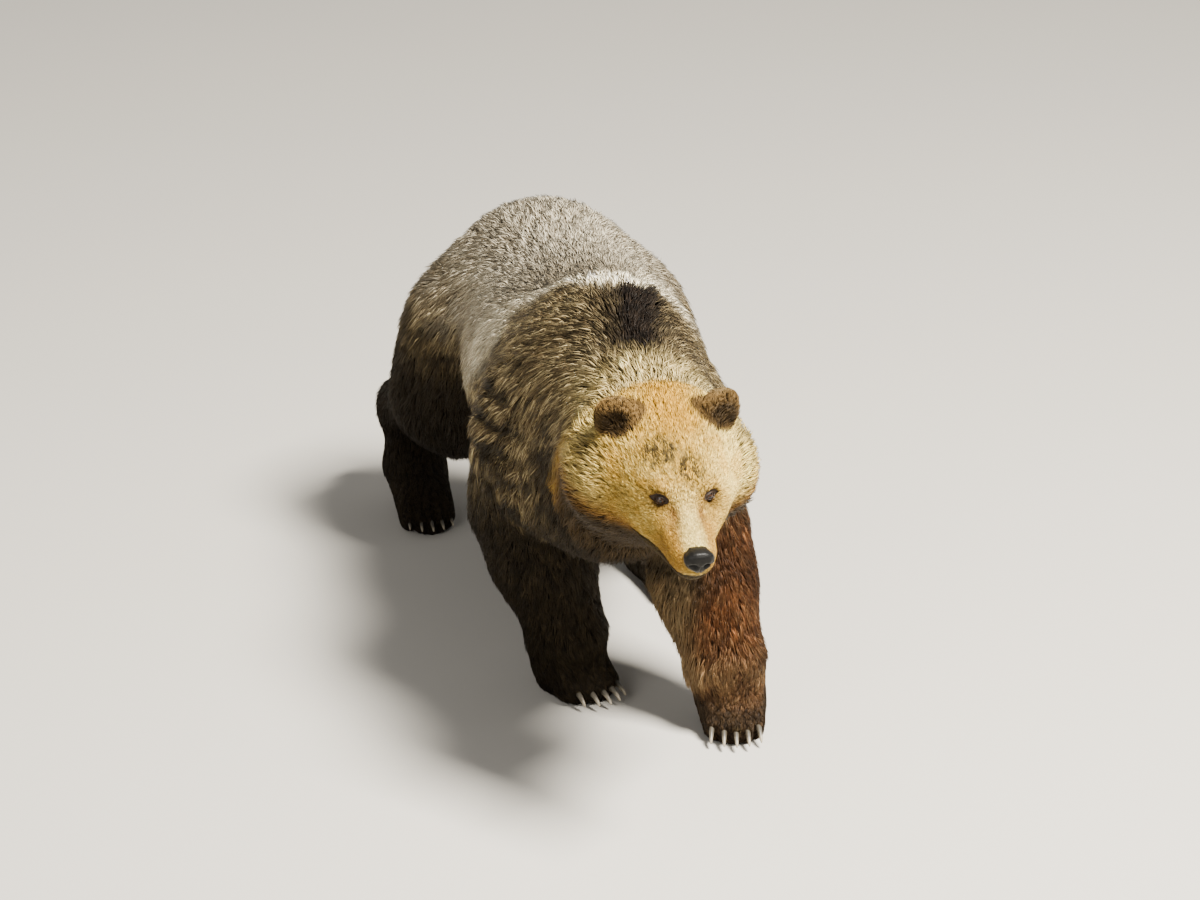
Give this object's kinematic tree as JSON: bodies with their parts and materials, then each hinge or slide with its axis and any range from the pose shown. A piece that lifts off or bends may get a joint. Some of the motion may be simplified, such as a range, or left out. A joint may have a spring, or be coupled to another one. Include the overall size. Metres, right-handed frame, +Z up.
{
  "type": "brown bear",
  "caption": "Life-size still model of a brown bear walking with its head low, one forepaw set ahead, in a thick shaggy coat.",
  "frame": {"origin": "on the floor, midway along and across the whole animal", "axes": "+Z up, the bear faces -Y and its left side is +X"},
  "size_m": [0.6272, 1.8962, 0.8927],
  "materials": {
    "head_coat": "short straw-coloured fur with dark flecks on the brow, paler along the muzzle",
    "body_coat": "long shaggy fur, dark brown with cream tips, silver-grey over the back",
    "leg_coat": "dark brown fur, auburn on the left foreleg, short on the feet",
    "ear_coat": "short olive-brown fur, dark inside, paler along the rim",
    "nose_leather": "moist black pebbled skin",
    "eye": "wet dark brown",
    "claw_horn": "grey-ivory horn, darker at the root"
  },
  "bodies": {
    "root": {"head": "head_coat", "lower_jaw": "head_coat", "eye_left": "eye", "eye_right": "eye", "nose": "nose_leather", "ear_left": "ear_coat", "ear_right": "ear_coat", "neck": "body_coat", "trunk": "body_coat", "tail": "body_coat", "foreleg_left_upper": "leg_coat", "foreleg_left_forearm": "leg_coat", "foreleg_left_paw": "leg_coat", "foreleg_left_claw_1": "claw_horn", "foreleg_left_claw_2": "claw_horn", "foreleg_left_claw_3": "claw_horn", "foreleg_left_claw_4": "claw_horn", "foreleg_left_claw_5": "claw_horn", "foreleg_right_upper": "leg_coat", "foreleg_right_forearm": "leg_coat", "foreleg_right_paw": "leg_coat", "foreleg_right_claw_1": "claw_horn", "foreleg_right_claw_2": "claw_horn", "foreleg_right_claw_3": "claw_horn", "foreleg_right_claw_4": "claw_horn", "foreleg_right_claw_5": "claw_horn", "hindleg_left_thigh": "leg_coat", "hindleg_left_shank": "leg_coat", "hindleg_left_paw": "leg_coat", "hindleg_left_claw_1": "claw_horn", "hindleg_left_claw_2": "claw_horn", "hindleg_left_claw_3": "claw_horn", "hindleg_left_claw_4": "claw_horn", "hindleg_left_claw_5": "claw_horn", "hindleg_right_thigh": "leg_coat", "hindleg_right_shank": "leg_coat", "hindleg_right_paw": "leg_coat", "hindleg_right_claw_1": "claw_horn", "hindleg_right_claw_2": "claw_horn", "hindleg_right_claw_3": "claw_horn", "hindleg_right_claw_4": "claw_horn", "hindleg_right_claw_5": "claw_horn"}
  },
  "joints": []
}
